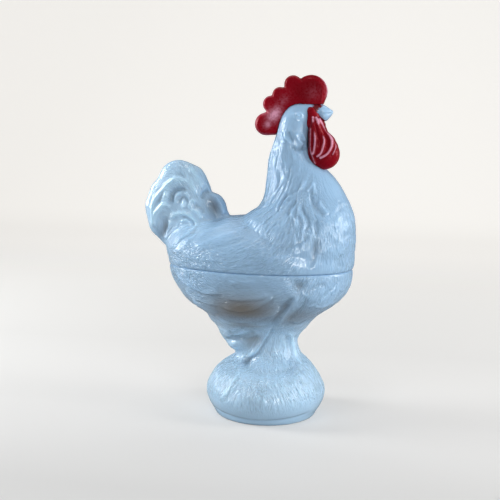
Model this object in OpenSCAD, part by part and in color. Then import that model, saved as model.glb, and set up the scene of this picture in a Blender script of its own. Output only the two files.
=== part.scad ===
// Pressed milk-glass rooster dish. The footed dish is the lower half of the bird, and the
// lift-off cover is its back, tail, neck and head, with an enamelled comb and wattles.
// The bird faces +X, its mirror plane is Y = 0, and its foot ring stands on Z = 0.
// X = 0 is halfway between the tail's rear edge and the breast.

/* [Overall] */
// Length of the bird, from the tail's rear edge to the breast
bird_len = 137; // [115:1:165]
// Width of the body at the joint between dish and cover
body_w = 82; // [68:1:99]
// Height of the dish, from the table to the joint
dish_h = 95.5; // [80:0.5:115]
// Height of the cover, from the joint to the top of the comb
cover_h = 120.5; // [100:0.5:145]

/* [Dish] */
// Outside diameter of the foot ring on the table
foot_d = 66; // [54:1:80]
// How far the rounded foot stands out beyond its ring, all round
foot_bulge = 5.6; // [4:0.2:7]
// Width of the flat foot ring
foot_ring_t = 4.6; // [3:0.2:7]
// Height of the hollow under the foot
foot_hollow_h = 13; // [8:0.5:17]
// Width of the stem across the legs
stem_w = 32; // [26:1:39]
// Depth of the bowl below the joint
bowl_depth = 33; // [26:0.5:37]

/* [Joint] */
// Glass thickness of the cover at its rim
cover_wall = 4; // [3:0.2:5]
// Clearance all round between the cover's rim and the dish's lip
lip_gap = 0.5; // [0.3:0.1:1]
// Thickness of the dish's locating lip
lip_t = 2.2; // [1.6:0.2:3]
// Height of the locating lip above the joint
lip_h = 3.5; // [2:0.5:5]
// Gap between the cover's rim and the ledge that it sits on
seat_gap = 0.2; // [0.1:0.05:0.4]

/* [Cover] */
// Height of the cover's hollow above the joint
cavity_h = 25; // [18:0.5:27]
// Height of the pocket that runs up into the neck, above the joint
neck_pocket_h = 56; // [40:1:62]
// Width of the head across the cheeks
head_w = 24; // [20:0.5:29]
// Thickness of the tail at its root
tail_t = 20; // [16:0.5:24]
// Thickness of the comb
comb_t = 8; // [6:0.5:10]
// Width across the two wattles
wattles_w = 21; // [17:0.5:25]

/* [Hidden] */
// Sizes of the pattern that the outlines below are drawn at: length, half width, dish, cover
pattern_len = 137;
pattern_half_w = 41;
pattern_dish_h = 95.5;
pattern_cover_h = 120.5;
pattern_stem_half_w = 16;
kx = bird_len / pattern_len;
ky = body_w / 2 / pattern_half_w;
kz_dish = dish_h / pattern_dish_h;
kz_cover = cover_h / pattern_cover_h;
foot_x = 14 * kx;
ring_points = 48;
// What the dish's wall takes up inside the body's outline: rim, clearance and lip
dish_inset = cover_wall + lip_gap + lip_t;
$fn = 24;

// An outline is a stack of level sections, each [z, rear x, front x, half width, egg]. Egg is
// how much the section is broader at the front than at the rear.

// The foot, as [z, how far the outline stands out beyond the ring as a share of the bulge]
foot_profile = [[0, -0.12], [0.5, 0], [2.4, 0.05], [5.5, 0.42], [9.5, 0.8], [14.5, 1],
  [19.5, 0.84], [24.5, 0.36], [28.5, -0.12]];

// Stem, legs and belly, from the top of the foot to the joint
stem_profile = [[33, -13, 43.2, 25, 0], [36, -8.3, 39.6, 20.5, 0], [38.6, -5.8, 37, 17.6, 0],
  [42, -8.6, 35.2, 16.2, 0.02], [46, -13.2, 34, 16, 0.04], [50, -16.2, 34.6, 16.6, 0.05],
  [54, -18.2, 36.8, 18, 0.06], [57, -20.2, 40, 20, 0.07]];
belly_profile = [[60.5, -23.6, 42.2, 26, 0.08], [64.5, -25.6, 46.2, 30, 0.09],
  [68, -29.6, 50.2, 33.4, 0.1], [70.5, -35, 54.2, 35.6, 0.1], [74, -39.4, 58.8, 37.6, 0.1],
  [79, -43.6, 63.6, 39.4, 0.1],
  [84, -46.8, 66.4, 40.4, 0.1], [90, -49.6, 68, 40.9, 0.1], [95.5, -50.6, 68.3, 41, 0.1]];

// Back of the bird in the cover, with z counted from the joint
back_profile = [[0, -50.6, 68.3, 41, 0.1], [4, -51.4, 69, 41.1, 0.1], [8, -52.6, 69, 40.8, 0.1],
  [12, -53, 68.6, 39.6, 0.1], [16, -51.4, 67.4, 37.2, 0.1], [20, -47.4, 65, 33.8, 0.1],
  [24, -40.6, 61, 29, 0.1], [28, -28.8, 54, 22, 0.1], [31, -14, 44, 13.5, 0.1],
  [32.2, -2, 32, 6, 0.1]];

// Breast, neck and head
neck_profile = [[4, -4, 64.6, 34, 0], [9, -5, 68, 36.4, 0], [13, -5.6, 69, 37.4, 0],
  [17, -5.8, 69.2, 37.2, 0], [24, -5.2, 69, 35.2, 0], [30, -3.8, 68.6, 32.2, 0],
  [33.4, 0.2, 67.8, 30, 0], [37, 5.8, 66.8, 27.4, 0], [41, 9.2, 65.2, 24.6, 0],
  [46, 11.2, 62.6, 21.6, 0], [52, 11.8, 59.2, 18.8, 0], [57, 12.2, 55.4, 16.8, 0],
  [62, 12.5, 50.4, 15.2, 0], [67, 12.9, 43.6, 14, 0], [73, 14.4, 39.4, 13.2, 0],
  [79, 16.4, 38.4, 12.7, 0], [85, 18, 38.8, 12.3, 0], [91, 19.4, 39.6, 11.9, 0],
  [96, 21.4, 40.6, 10.6, 0], [100, 24.4, 39.6, 8, 0], [102.2, 27.6, 37, 4.6, 0],
  [103, 30.4, 34.2, 1.4, 0]];
neck_head_from = 73;

// Pocket inside the neck
pocket_profile = [[-48, -3, 58, 25, 0], [-38, 3, 58, 22, 0], [-28, 10, 56, 17, 0],
  [-18, 16, 51, 12, 0], [-9, 21, 44, 8, 0], [-3, 25, 39, 4.5, 0], [0, 29, 35, 1.6, 0]];

// Tail lobes as groups of [x, z above the joint, radius]; each group is one rounded lobe
tail_lobes = [
  [[-43, 14, 10], [-55.5, 26, 10.5], [-58, 36, 10.4], [-55, 45, 10]],
  [[-36, 16, 14], [-52, 40, 14], [-45.5, 53.6, 13]],
  [[-34, 20, 13], [-45.5, 53, 13.6], [-38.5, 52, 12], [-30, 38, 9]],
  [[-30, 18, 14], [-31.5, 36, 11], [-23.4, 36.4, 9.6], [-19.4, 26, 8.6]]];

// Comb: a base line along the head, and lobes that rise from it, as [x, z above the joint, radius]
comb_base = [[18, 88, 4.6], [20.6, 95, 5], [26.5, 101.4, 5], [34, 104.4, 5], [43, 105, 4.4]];
comb_lobes = [[11, 90, 7.1], [14, 102.4, 5.2], [19.6, 108, 5], [27.6, 114.6, 5.6],
  [38.9, 110.3, 10.2]];

// Face and wattles, as [x, z above the joint, radius, share of the half width]
face_balls = [[39.4, 98, 3, 0.5], [40.6, 91, 4.6, 0.42], [44.6, 89.6, 3.8, 0.2], [41.6, 95, 3.4, 0.4]];
wattle_balls = [[42.6, 90, 4.6, 0.35], [44.2, 82.5, 6, 0.5], [47, 76.4, 8.4, 0.52],
  [47.8, 71.8, 9.8, 0.52]];

// Horn of the beak, as [x, z above the joint, radius, sideways stretch]
beak_balls = [[36, 98, 5.2, 1.4], [45.4, 99, 3.8, 1.5], [47, 95.4, 3.8, 1.5], [52.6, 97.8, 1, 1.4]];
eye_x = 30.7;
eye_z = 95.4;
eye_r = 2;

// ---- curves and lofts ----

// Point at t, from 0 to 1, of the smooth curve from p1 to p2 with neighbours p0 and p3
function curve(p0, p1, p2, p3, t) = 0.5 * (2 * p1 + (p2 - p0) * t
  + (2 * p0 - 5 * p1 + 4 * p2 - p3) * t * t + (3 * p1 - p0 - 3 * p2 + p3) * t * t * t);

// The stations s with steps - 1 more between each two, on a smooth curve
function smoothed(s, steps = 2) = let (last = len(s) - 1) concat(
  [for (i = [0 : last - 1], k = [0 : steps - 1])
    curve(s[max(i - 1, 0)], s[i], s[i + 1], s[min(i + 2, last)], k / steps)], [s[last]]);

// A station, d inside the outline
function inset(s, d) = [s[0], s[1] + d, s[2] - d, s[3] - d, s[4]];

// A station shrunk towards its middle by a factor and set at height z
function shrunk(s, f, z) = let (c = (s[1] + s[2]) / 2)
  [z, c + (s[1] - c) * f, c + (s[2] - c) * f, s[3] * f, s[4]];

// The station of list s at height z
function section_at(s, z) = [z, for (c = [1 : 4]) lookup(z, [for (p = s) [p[0], p[c]]])];

// A station's points, once round anticlockwise from the front
function ring(s) = let (c = (s[1] + s[2]) / 2, h = (s[2] - s[1]) / 2)
  [for (k = [0 : ring_points - 1]) let (a = 360 * k / ring_points)
    [c + h * cos(a), s[3] * sin(a) * (1 + s[4] * cos(a)), s[0]]];

// Solid through a list of stations, closed flat at both ends
module loft(stations) {
  n = ring_points;
  m = len(stations);
  points = [for (s = stations) each ring(s)];
  sides = [for (i = [0 : m - 2], k = [0 : n - 1]) let (j = (k + 1) % n)
    each [[i * n + k, (i + 1) * n + k, (i + 1) * n + j], [i * n + k, (i + 1) * n + j, i * n + j]]];
  polyhedron(points, concat([[for (k = [0 : n - 1]) k]], sides,
    [[for (k = [n - 1 : -1 : 0]) (m - 1) * n + k]]), convexity = 6);
}

// ---- outlines at the driven sizes ----

foot_r = foot_d / 2;
foot_stations = [for (p = foot_profile) let (r = foot_r + foot_bulge * p[1])
  [p[0] * kz_dish, foot_x - r, foot_x + r, r, 0]];
stem_ky = stem_w / 2 / pattern_stem_half_w;
dish_outline = smoothed(concat(foot_stations,
  [for (p = stem_profile) [p[0] * kz_dish, p[1] * kx, p[2] * kx, p[3] * stem_ky, p[4]]],
  [for (p = belly_profile) [p[0] * kz_dish, p[1] * kx, p[2] * kx, p[3] * ky, p[4]]]));
back_outline = smoothed([for (p = back_profile)
  [dish_h + p[0] * kz_cover, p[1] * kx, p[2] * kx, p[3] * ky, p[4]]]);
head_ky = head_w / 2 / 12.2;

// The neck's half width follows the body's at the breast and the head's above the throat
function neck_ky(z) = let (t = min(max((z - 30) / (neck_head_from - 30), 0), 1))
  ky * (1 - t) + head_ky * t;
neck_outline = smoothed([for (p = neck_profile)
  [dish_h + p[0] * kz_cover, p[1] * kx, p[2] * kx, p[3] * neck_ky(p[0]), p[4]]]);

// ---- dish ----

// Underside of the foot, from the middle of its hollow out to the ring
hollow_r = foot_r - foot_ring_t;
hollow_steps = 5;
hollow_stations = [for (k = [0 : hollow_steps])
  let (a = 90 * k / hollow_steps, r = max(hollow_r * sin(a), 2))
  [foot_hollow_h * cos(a), foot_x - r, foot_x + r, r, 0]];

// Ledge that the cover sits on, and the lip inside it
rim = dish_outline[len(dish_outline) - 1];
lip_stations = [inset(rim, cover_wall + lip_gap),
  shrunk(inset(rim, cover_wall + lip_gap), 1, dish_h + lip_h),
  shrunk(inset(rim, dish_inset), 1, dish_h + lip_h)];

// Inside of the bowl, from the lip down to the middle of its floor
bowl_steps = 9;
bowl_stations = [for (k = [0 : bowl_steps])
  let (u = sin(90 * k / bowl_steps), z = dish_h - bowl_depth * u)
  shrunk(inset(section_at(dish_outline, z), dish_inset), max(sqrt(1 - pow(u, 6)), 0.04), z)];

module dish() {
  color("lightblue")
    loft(concat(hollow_stations, dish_outline, lip_stations, bowl_stations));
}

// ---- cover ----

// A ball at [x, z above the joint, radius], flattened sideways to half_t and moved aside by y
module ball(p, half_t, y = 0) {
  translate([p[0] * kx, y, dish_h + p[1] * kz_cover])
    scale([kx, half_t / p[2], kz_cover]) sphere(p[2]);
}

// Hollow of the cover: the body's inside, and the pocket in the neck
cavity_steps = 8;
cavity_stations = [for (k = [0 : cavity_steps])
  let (u = sin(90 * k / cavity_steps), z = dish_h + cavity_h * u)
  shrunk(inset(section_at(back_outline, z), cover_wall), max(sqrt(1 - pow(u, 3)), 0.04), z)];
pocket_stations = smoothed([for (p = pocket_profile)
  [dish_h + neck_pocket_h + p[0] * kz_cover, p[1] * kx, p[2] * kx, p[3] * neck_ky(p[0] + 56), p[4]]]);

module cover_hollow() {
  loft(concat([shrunk(cavity_stations[0], 1, dish_h - 1)], cavity_stations));
  loft(pocket_stations);
}

module tail() {
  lobe_t = [0.62, 0.8, 0.9, 1];
  for (i = [0 : len(tail_lobes) - 1])
    hull()
      for (k = [0 : len(tail_lobes[i]) - 1])
        ball(tail_lobes[i][k], tail_t / 2 * lobe_t[i] * (k == 0 ? 1 : 0.8));
}

module beak() {
  hull()
    for (k = [0, 1])
      ball(beak_balls[k], beak_balls[k][2] * beak_balls[k][3]);
  hull()
    for (k = [1 : 3])
      ball(beak_balls[k], beak_balls[k][2] * beak_balls[k][3]);
}

module eyes() {
  for (side = [-1, 1])
    hull() {
      ball([eye_x, eye_z, eye_r], eye_r, side * (head_w / 2 - 3.4));
      ball([eye_x, eye_z, eye_r], eye_r / 2, side * (head_w / 2 - 1.4));
    }
}

// The solid form of head and neck, which the comb and wattles are cut to
module head_and_neck() {
  loft(neck_outline);
  beak();
}

module cover() {
  color("lightblue")
    translate([0, 0, seat_gap])
      difference() {
        union() {
          loft(back_outline);
          head_and_neck();
          tail();
          eyes();
        }
        cover_hollow();
      }
}

// ---- enamelled parts of the head ----

// A flat disc at [x, z above the joint, radius], with bevelled edges
module disc(p, half_t) {
  translate([p[0] * kx, 0, dish_h + p[1] * kz_cover])
    scale([kx, 1, kz_cover])
      rotate([90, 0, 0])
        for (step = [[1, 0.5], [0.74, 1]])
          cylinder(r = p[2] * step[0], h = 2 * half_t * step[1], center = true);
}

module comb_plate() {
  half_t = comb_t / 2;
  last = len(comb_lobes) - 1;
  for (i = [0 : last])
    hull() {
      disc(comb_base[i], half_t);
      disc(comb_base[min(i + 1, last)], half_t);
      disc(comb_lobes[i], half_t);
    }
}

module comb() {
  color("firebrick")
    translate([0, 0, seat_gap])
      difference() {
        comb_plate();
        head_and_neck();
      }
}

module wattles() {
  half_w = wattles_w / 2;
  color("firebrick")
    translate([0, 0, seat_gap])
      difference() {
        union() {
          hull()
            for (side = [-1, 1], p = face_balls)
              ball(p, p[2], side * p[3] * half_w);
          for (side = [-1, 1], i = [0 : len(wattle_balls) - 2])
            hull()
              for (p = [wattle_balls[i], wattle_balls[i + 1]])
                ball(p, half_w * (1 - p[3]), side * p[3] * half_w);
        }
        head_and_neck();
        comb_plate();
      }
}

dish();
cover();
comb();
wattles();
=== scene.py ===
"""Pressed milk-glass rooster dish: the looks of its four solids, and the studio around it.

Each solid of the frame gets a finely meshed copy. The feather relief of the mould is then
pressed into the outer skin, and the copy is dressed in milk glass or in red enamel.
Sculpting works in millimetres, in the frame's own axes: the bird faces +X and Y = 0 is its
mirror plane, so all relief is laid out on the side with negative Y and mirrored.
"""
import logging
import math
from dataclasses import dataclass
from enum import Enum

import bmesh
import bpy
import numpy as np
from mathutils import Matrix, Vector


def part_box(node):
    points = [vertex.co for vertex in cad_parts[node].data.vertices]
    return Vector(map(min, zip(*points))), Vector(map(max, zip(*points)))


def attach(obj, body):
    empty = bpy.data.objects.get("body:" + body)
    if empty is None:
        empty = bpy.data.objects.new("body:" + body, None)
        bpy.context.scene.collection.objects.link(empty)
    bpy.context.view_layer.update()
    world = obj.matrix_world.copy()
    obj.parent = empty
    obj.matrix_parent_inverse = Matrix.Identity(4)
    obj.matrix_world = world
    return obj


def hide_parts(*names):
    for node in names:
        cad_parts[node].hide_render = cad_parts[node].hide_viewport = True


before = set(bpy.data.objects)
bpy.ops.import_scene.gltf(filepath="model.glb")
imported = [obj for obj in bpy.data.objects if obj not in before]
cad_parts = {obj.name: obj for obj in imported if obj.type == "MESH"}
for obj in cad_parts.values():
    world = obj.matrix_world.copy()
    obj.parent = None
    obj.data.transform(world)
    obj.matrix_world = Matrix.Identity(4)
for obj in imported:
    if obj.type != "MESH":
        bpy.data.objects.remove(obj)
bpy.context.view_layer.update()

LOG = logging.getLogger("rooster_dish")
M_PER_MM = 0.001
Array = np.ndarray
RGB = tuple[float, float, float]

STREAK_MM = 0.95  # how wide one streak of the plumage is
STRAND_RUN_MM = 8.0  # how far a combed strand runs to either side
HATCH_RUN_MM = 2.2  # how far a stroke of hatching runs to either side
BIRD_MIDDLE_M = (0.0, 0.0, 0.11)  # where the lights aim
LEVEL_SHADING = 0.6  # painted shading stored for glass without relief
SHADING_PER_MM = 0.5  # how much each millimetre of relief lightens it as painted highlight, or of hollow darkens it as painted shade


# ---------------------------------------------------------------- numbers and noise


def smooth(low: float, high: float, value: Array) -> Array:
    """Soft step from 0 at low to 1 at high.

    Args:
        low: Where the step starts.
        high: Where it ends; below low, the step falls.
        value: The numbers to step.

    Returns:
        The stepped numbers, from 0 to 1.
    """
    t = np.clip((value - low) / (high - low), 0.0, 1.0)
    return t * t * (3.0 - 2.0 * t)


def lattice(cells: Array, seed: int) -> Array:
    """One random number from 0 to 1 for each cell of a cubic lattice.

    Args:
        cells: Whole-number cell coordinates, N by 3.
        seed: Picks one of many lattices.

    Returns:
        N numbers.
    """
    x, y, z = cells.astype(np.int64).T
    low_32, low_24 = 0xFFFFFFFF, 0xFFFFFF
    h = (x * 374761393 + y * 668265263 + z * 2147483647 + seed * 144665) & low_32
    for shift, factor in ((13, 1274126177), (16, 2246822519)):
        h = ((h ^ (h >> shift)) * factor) & low_32
    return ((h ^ (h >> 15)) & low_24) / float(low_24)


def noise(points: Array, cell: float, seed: int = 0) -> Array:
    """Smooth random numbers from -1 to 1 over space.

    Args:
        points: Places in millimetres, N by 3.
        cell: Size of one bump of the noise in millimetres.
        seed: Picks one of many noises.

    Returns:
        N numbers.
    """
    scaled = points / cell
    base = np.floor(scaled)
    f = scaled - base
    f = f * f * (3.0 - 2.0 * f)
    total = np.zeros(len(points))
    for corner in range(8):
        step = np.array([corner & 1, corner >> 1 & 1, corner >> 2 & 1])
        weight = np.prod(np.where(step == 1, f, 1.0 - f), axis=1)
        total += weight * lattice(base + step, seed)
    return total * 2.0 - 1.0


def rounded_path(points: list[tuple[float, float]], steps: int = 5) -> Array:
    """A smooth curve through a few points.

    Args:
        points: The points that the curve goes through.
        steps: Pieces between two points.

    Returns:
        The curve's points, one row each.
    """
    p = np.array(points, float)
    p = np.vstack([2 * p[0] - p[1], p, 2 * p[-1] - p[-2]])
    rows = []
    for i in range(1, len(p) - 2):
        for k in range(steps):
            t = k / steps
            rows.append(0.5 * (2 * p[i] + (p[i + 1] - p[i - 1]) * t
                               + (2 * p[i - 1] - 5 * p[i] + 4 * p[i + 1] - p[i + 2]) * t ** 2
                               + (3 * p[i] - p[i - 1] - 3 * p[i + 1] + p[i + 2]) * t ** 3))
    rows.append(p[-2])
    return np.array(rows)


# ---------------------------------------------------------------- what relief is made of


@dataclass(frozen=True)
class Swell:
    """A soft hill or hollow, seen from the side: place, radii, turn in degrees and height in mm."""

    x: float
    z: float
    rx: float
    rz: float
    height: float
    turn: float = 0.0

    def height_at(self, side: Array) -> Array:
        """Height of the swell at places in the side view."""
        a = math.radians(self.turn)
        dx, dz = side[:, 0] - self.x, side[:, 1] - self.z
        u = (dx * math.cos(a) + dz * math.sin(a)) / self.rx
        v = (dz * math.cos(a) - dx * math.sin(a)) / self.rz
        return self.height * np.exp(-(u * u + v * v))


class Edge(Enum):
    """How a drawn line stands in the glass."""

    RIDGE = "ridge"  # the same both sides
    STEP = "step"  # a feather's edge: high on the left of the line, dropping on its right


@dataclass(frozen=True)
class Line:
    """A drawn ridge, groove or feather edge, seen from the side, with its height and width in mm.

    It fades out at both ends over the share run_out of its length, unless it is closed.
    """

    points: tuple[tuple[float, float], ...]
    height: float
    width: float
    edge: Edge = Edge.RIDGE
    closed: bool = False
    run_out: float = 0.16

    def height_at(self, side: Array) -> Array:
        """Height of the line's relief at places in the side view."""
        path = rounded_path(list(self.points))
        reach = self.width * (3.0 if self.edge is Edge.RIDGE else 5.0)
        low, high = path.min(0) - reach, path.max(0) + reach
        near = np.all((side > low) & (side < high), axis=1)
        out = np.zeros(len(side))
        if not near.any():
            return out
        p = side[near]
        best = np.full(len(p), 1e9)
        signed = np.zeros(len(p))
        along = np.zeros(len(p))
        last = len(path) - 1
        for i in range(last):
            a, d = path[i], path[i + 1] - path[i]
            span = max(float(d @ d), 1e-9)
            t = np.clip(((p - a) @ d) / span, 0.0, 1.0)
            off = p - (a + t[:, None] * d)
            dist = np.hypot(off[:, 0], off[:, 1])
            nearer = dist < best
            best = np.where(nearer, dist, best)
            cross = d[0] * off[:, 1] - d[1] * off[:, 0]
            signed = np.where(nearer, np.sign(cross) * dist, signed)
            along = np.where(nearer, (i + t) / last, along)
        fade = 1.0
        if not self.closed:
            fade = smooth(0.0, self.run_out, along) * smooth(1.0, 1.0 - self.run_out, along)
        if self.edge is Edge.RIDGE:
            shape = np.exp(-(best / self.width) ** 2)
        else:
            fall, lip_mm, cut_mm = 2.2 * self.width, 0.45, 0.6
            high_side = np.exp(-np.maximum(signed, 0.0) / fall)
            undercut = 0.35 * np.exp(-((signed + cut_mm) / (0.7 * self.width)) ** 2)
            shape = high_side * smooth(-lip_mm, lip_mm, signed) - undercut
        out[near] = self.height * shape * fade
        return out


@dataclass(frozen=True)
class Patch:
    """A patch of plumage, seen from the side: where it is, which way it lies, and its relief."""

    x: float
    z: float
    reach: float
    lay_x: float
    lay_z: float
    hatch: float
    strand: float = 0.0
    feather: float = 0.0
    length: float = 12.0
    width: float = 6.0


class Streak(Enum):
    """Which streaks of the plumage: its column in the table of relief."""

    HATCH = 0  # short, fine hatching
    STRAND = 1  # long, combed strands


class Plumage:
    """The lay and the relief of the feathers, blended between patches."""

    def __init__(self, patches: tuple[Patch, ...]) -> None:
        """Keeps the patches as one table."""
        self.centre = np.array([(p.x, p.z) for p in patches])
        self.reach = np.array([p.reach for p in patches])
        lay = np.array([(p.lay_x, p.lay_z) for p in patches])
        self.lay = lay / np.linalg.norm(lay, axis=1)[:, None]
        self.values = np.array([(p.hatch, p.strand, p.feather, p.length, p.width) for p in patches])

    def weights(self, points: Array) -> Array:
        """How much each patch counts at each point."""
        d = points[:, None, (0, 2)] - self.centre[None]
        w = np.exp(-(d ** 2).sum(2) / self.reach ** 2) + 1e-12
        return w / w.sum(1)[:, None]

    def lay_at(self, points: Array, normals: Array) -> Array:
        """Unit vectors along the feathers at points of the skin."""
        flat = self.weights(points) @ self.lay
        lay = np.stack([flat[:, 0], np.zeros(len(flat)), flat[:, 1]], axis=1)
        lay -= normals * (lay * normals).sum(1)[:, None]
        return lay / np.maximum(np.linalg.norm(lay, axis=1), 1e-6)[:, None]

    def relief_at(self, points: Array) -> Array:
        """Height of hatching, strands and feathers, then feather length and width, at points."""
        return self.weights(points) @ self.values


class Sculpt:
    """Heights gathered over the outer skin of one piece, then pressed into it."""

    def __init__(self, mesh: bpy.types.Mesh, rows: Array | slice = slice(None)) -> None:
        """Starts with a level skin.

        Args:
            mesh: The piece's mesh.
            rows: Which of its vertices the skin has.
        """
        self.mesh, self.rows = mesh, rows
        self.places = read_points(mesh)[rows]
        side = np.where(self.places[:, 1] > 0.0, -1.0, 1.0)
        flip = np.stack([np.ones(len(side)), side, np.ones(len(side))], axis=1)
        self.points = self.places * flip
        self.normals = read_normals(mesh)[rows] * flip
        self.side_view = self.points[:, (0, 2)]
        self.faces_side = smooth(0.12, 0.5, -self.normals[:, 1])
        self.height = np.zeros(len(self.points))

    def forms(self, forms: tuple[Swell | Line, ...]) -> None:
        """Adds hills and hollows, or drawn ridges, grooves and feather edges, on the flanks."""
        for form in forms:
            self.height += form.height_at(self.side_view) * self.faces_side

    def streaks(self, plumage: Plumage, kind: Streak, run: float, seed: int,
                share: float = 1.0) -> None:
        """Adds hair-like streaks that follow the lay of the feathers.

        Args:
            plumage: The lay, and how deep the streaks are.
            kind: Which streaks to add.
            run: How far each streak runs to either side, in millimetres.
            seed: Picks one of many patterns.
            share: Share of their depth that they get.
        """
        depth = plumage.relief_at(self.points)[:, kind.value]
        steps = 7
        total = noise(self.points, STREAK_MM, seed)
        for way in (-1.0, 1.0):
            p = self.points.copy()
            for _ in range(steps):
                p = p + way * run / steps * plumage.lay_at(p, self.normals)
                total += noise(p, STREAK_MM, seed)
        mean = total / math.sqrt(2 * steps + 1)
        self.height += share * depth * np.tanh(mean * 1.6)

    def feathers(self, plumage: Plumage, area: Array, seed: int) -> None:
        """Lays overlapping feathers, each highest at its tip, over the skin.

        Args:
            plumage: The lay and the size of the feathers.
            area: The skin's vertices where feathers may root, as true or false.
            seed: Picks one of many layouts.
        """
        rng = np.random.default_rng(seed)
        least_rise, most_tries, spacing, widest_at = 0.04, 9000, 0.8, 0.45
        relief = plumage.relief_at(self.points)
        lay = plumage.lay_at(self.points, self.normals)
        order = rng.permutation(np.flatnonzero(area & (relief[:, 2] > least_rise)))
        roots: list[int] = []
        placed = np.zeros((0, 3))
        for v in order[:most_tries]:
            gap = relief[v, 4] * spacing
            if len(placed) and ((placed - self.points[v]) ** 2).sum(1).min() < gap * gap:
                continue
            roots.append(int(v))
            placed = np.vstack([placed, self.points[v]])
        top = np.zeros(len(self.points))
        for v in roots:
            rise, length, width = relief[v, 2:] * (rng.uniform(0.7, 1.2), rng.uniform(0.85, 1.2), 1.0)
            d = self.points - self.points[v]
            near = np.flatnonzero((d ** 2).sum(1) < (length * 1.05) ** 2)
            if not len(near):
                continue
            d = d[near]
            along = lay[v]
            across = np.cross(self.normals[v], along)
            bend = rng.uniform(-0.18, 0.18)
            s = (d @ along) / length
            half = 0.62 * width
            t = (d @ across) / half + bend * s * s
            past_widest = np.clip((s - widest_at) / (1.0 - widest_at), -1, 1)
            outline = np.sqrt(np.clip(1.0 - past_widest ** 2, 0.0, 1.0))
            inside = np.minimum(outline - np.abs(t), (1.0 - s) * 1.4) * half
            shape = smooth(0.0, 0.9, inside) * np.clip(s, 0.0, 1.0) ** 0.7
            crown = 1.0 - 0.35 * t * t - 0.3 * np.exp(-(t / 0.16) ** 2)
            same_side = (self.normals[near] @ self.normals[v]) > 0.2
            top[near] = np.maximum(top[near], rise * shape * crown * same_side)
        self.height += top

    def write_lay(self, plumage: Plumage) -> None:
        """Stores the lay of the feathers and the depth of their hatching on the skin.

        Args:
            plumage: The lay, and how deep the hatching is.
        """
        flat = plumage.weights(self.points) @ plumage.lay
        lay = np.zeros((len(self.mesh.vertices), 3))
        lay[np.ix_(self.rows, (0, 2))] = flat / np.maximum(np.linalg.norm(flat, axis=1), 1e-6)[:, None]
        write_directions(self.mesh, "lay", lay)
        depth = np.zeros(len(self.mesh.vertices))
        depth[self.rows] = plumage.relief_at(self.points)[:, Streak.HATCH.value]
        write_mask(self.mesh, "hatch", depth)

    def write_relief_shading(self) -> None:
        """Stores painted shading: a painted highlight on high relief and painted shade in low."""
        painted_shading = np.full(len(self.mesh.vertices), LEVEL_SHADING)
        painted_shading[self.rows] = np.clip(LEVEL_SHADING + self.height * SHADING_PER_MM, 0.0, 1.0)
        write_mask(self.mesh, "relief", painted_shading)

    def press(self, weight: Array | float = 1.0) -> None:
        """Moves the skin's vertices along their normals by the heights gathered.

        Args:
            weight: Share of the height that each one takes.
        """
        co = read_points(self.mesh)
        co[self.rows] += read_normals(self.mesh)[self.rows] * (self.height * weight)[:, None]
        write_points(self.mesh, co)


# ---------------------------------------------------------------- meshes


def read_points(mesh: bpy.types.Mesh) -> Array:
    """Places of a mesh's vertices in millimetres."""
    co = np.zeros(len(mesh.vertices) * 3, np.float32)
    mesh.vertices.foreach_get("co", co)
    return co.reshape(-1, 3).astype(float) / M_PER_MM


def write_points(mesh: bpy.types.Mesh, points: Array) -> None:
    """Sets the places of a mesh's vertices, given in millimetres."""
    mesh.vertices.foreach_set("co", (points * M_PER_MM).astype(np.float32).ravel())
    mesh.update()


def read_normals(mesh: bpy.types.Mesh) -> Array:
    """Unit normals at a mesh's vertices."""
    n = np.zeros(len(mesh.vertices) * 3, np.float32)
    mesh.vertex_normals.foreach_get("vector", n)
    return n.reshape(-1, 3).astype(float)


def write_mask(mesh: bpy.types.Mesh, name: str, values: Array) -> None:
    """Stores one number per vertex, for a material to read."""
    layer = mesh.attributes.new(name, "FLOAT", "POINT")
    layer.data.foreach_set("value", values.astype(np.float32))


def write_directions(mesh: bpy.types.Mesh, name: str, vectors: Array) -> None:
    """Stores one vector per vertex, for a material to read."""
    layer = mesh.attributes.new(name, "FLOAT_VECTOR", "POINT")
    layer.data.foreach_set("vector", vectors.astype(np.float32).ravel())


def settled(obj: bpy.types.Object) -> bpy.types.Object:
    """Makes an object's modifiers part of its mesh."""
    graph = bpy.context.evaluated_depsgraph_get()
    mesh = bpy.data.meshes.new_from_object(obj.evaluated_get(graph))
    obj.modifiers.clear()
    old, obj.data = obj.data, mesh
    bpy.data.meshes.remove(old)
    return obj


def relax(bm: bmesh.types.BMesh, verts: object, passes: int) -> None:
    """Smooths the places of some vertices.

    Args:
        bm: The mesh.
        verts: Its vertices to move.
        passes: Times to smooth them.
    """
    for _ in range(passes):
        bmesh.ops.smooth_vert(bm, verts=verts, factor=0.5, use_axis_x=True, use_axis_y=True,
                              use_axis_z=True)


def remeshed_copy(node: str, name: str, cell_mm: float, smoothing: int) -> bpy.types.Object:
    """An evenly meshed copy of a solid of the frame.

    Args:
        node: The solid's name in the frame.
        name: The copy's name.
        cell_mm: Size of its faces in millimetres.
        smoothing: Passes of smoothing.

    Returns:
        The new object.
    """
    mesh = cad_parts[node].data.copy()
    mesh.materials.clear()
    bm = bmesh.new()
    bm.from_mesh(mesh)
    bmesh.ops.remove_doubles(bm, verts=bm.verts, dist=1e-6)
    bm.to_mesh(mesh)
    bm.free()
    obj = bpy.data.objects.new(name, mesh)
    bpy.context.scene.collection.objects.link(obj)
    skin = obj.modifiers.new("even skin", "REMESH")
    skin.mode = "VOXEL"
    skin.voxel_size = cell_mm * M_PER_MM
    settled(obj)
    bm = bmesh.new()
    bm.from_mesh(obj.data)
    relax(bm, bm.verts, smoothing)
    bm.to_mesh(obj.data)
    bm.free()
    return obj


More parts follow.
